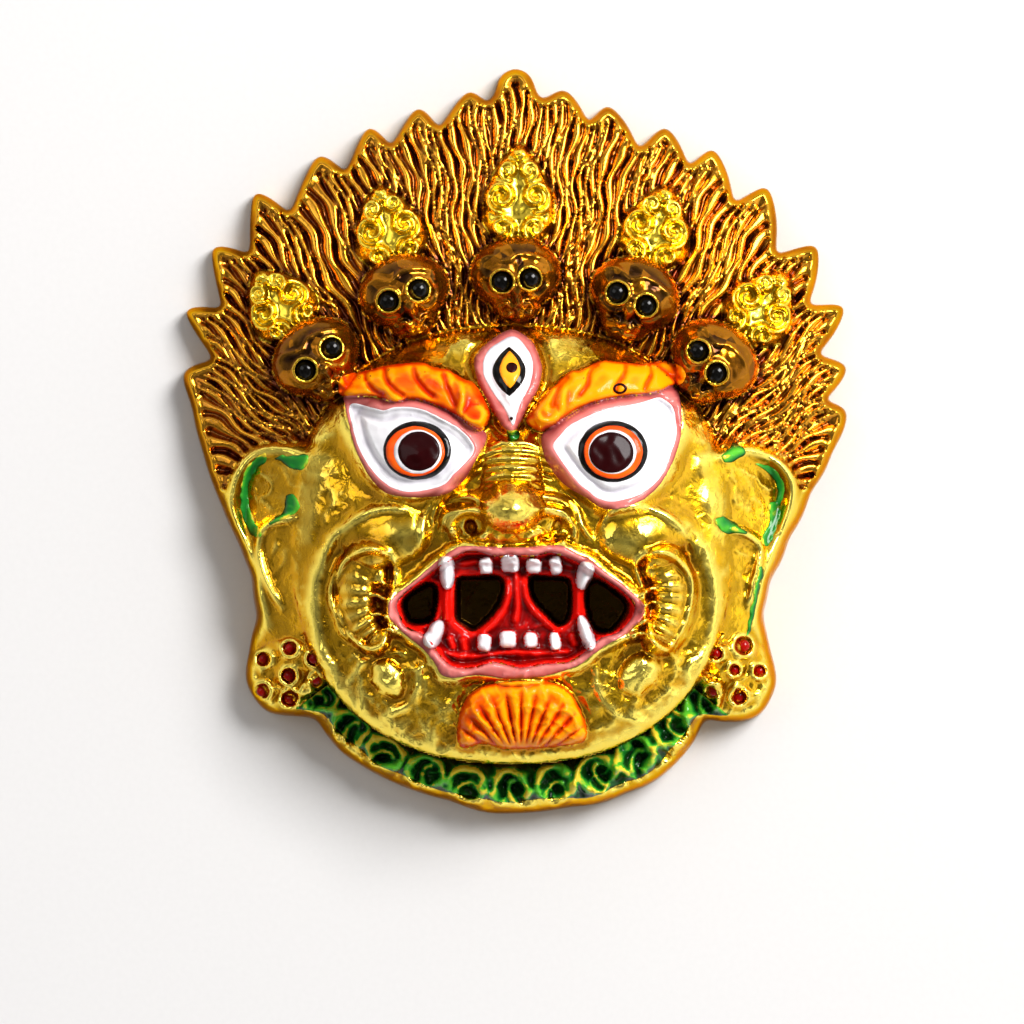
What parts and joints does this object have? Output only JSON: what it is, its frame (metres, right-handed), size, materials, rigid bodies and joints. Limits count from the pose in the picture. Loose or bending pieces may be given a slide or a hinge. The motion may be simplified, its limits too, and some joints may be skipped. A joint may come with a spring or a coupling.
{
  "type": "guardian deity mask",
  "caption": "Small hollow cast mask of a wrathful guardian face, with third eye, skulls on the brow, flame hair, ears, open mouth and curled collar, gilt and painted.",
  "frame": {"origin": "on the plane of the back rim, under the middle of the outline", "axes": "+Z out of the face, +Y towards the top of the flame hair, +X to the viewer's right"},
  "size_m": [0.0884, 0.1, 0.027],
  "materials": {
    "gilt_metal": "gloss"
  },
  "bodies": {
    "root": {"mask": "gilt_metal"}
  },
  "joints": []
}
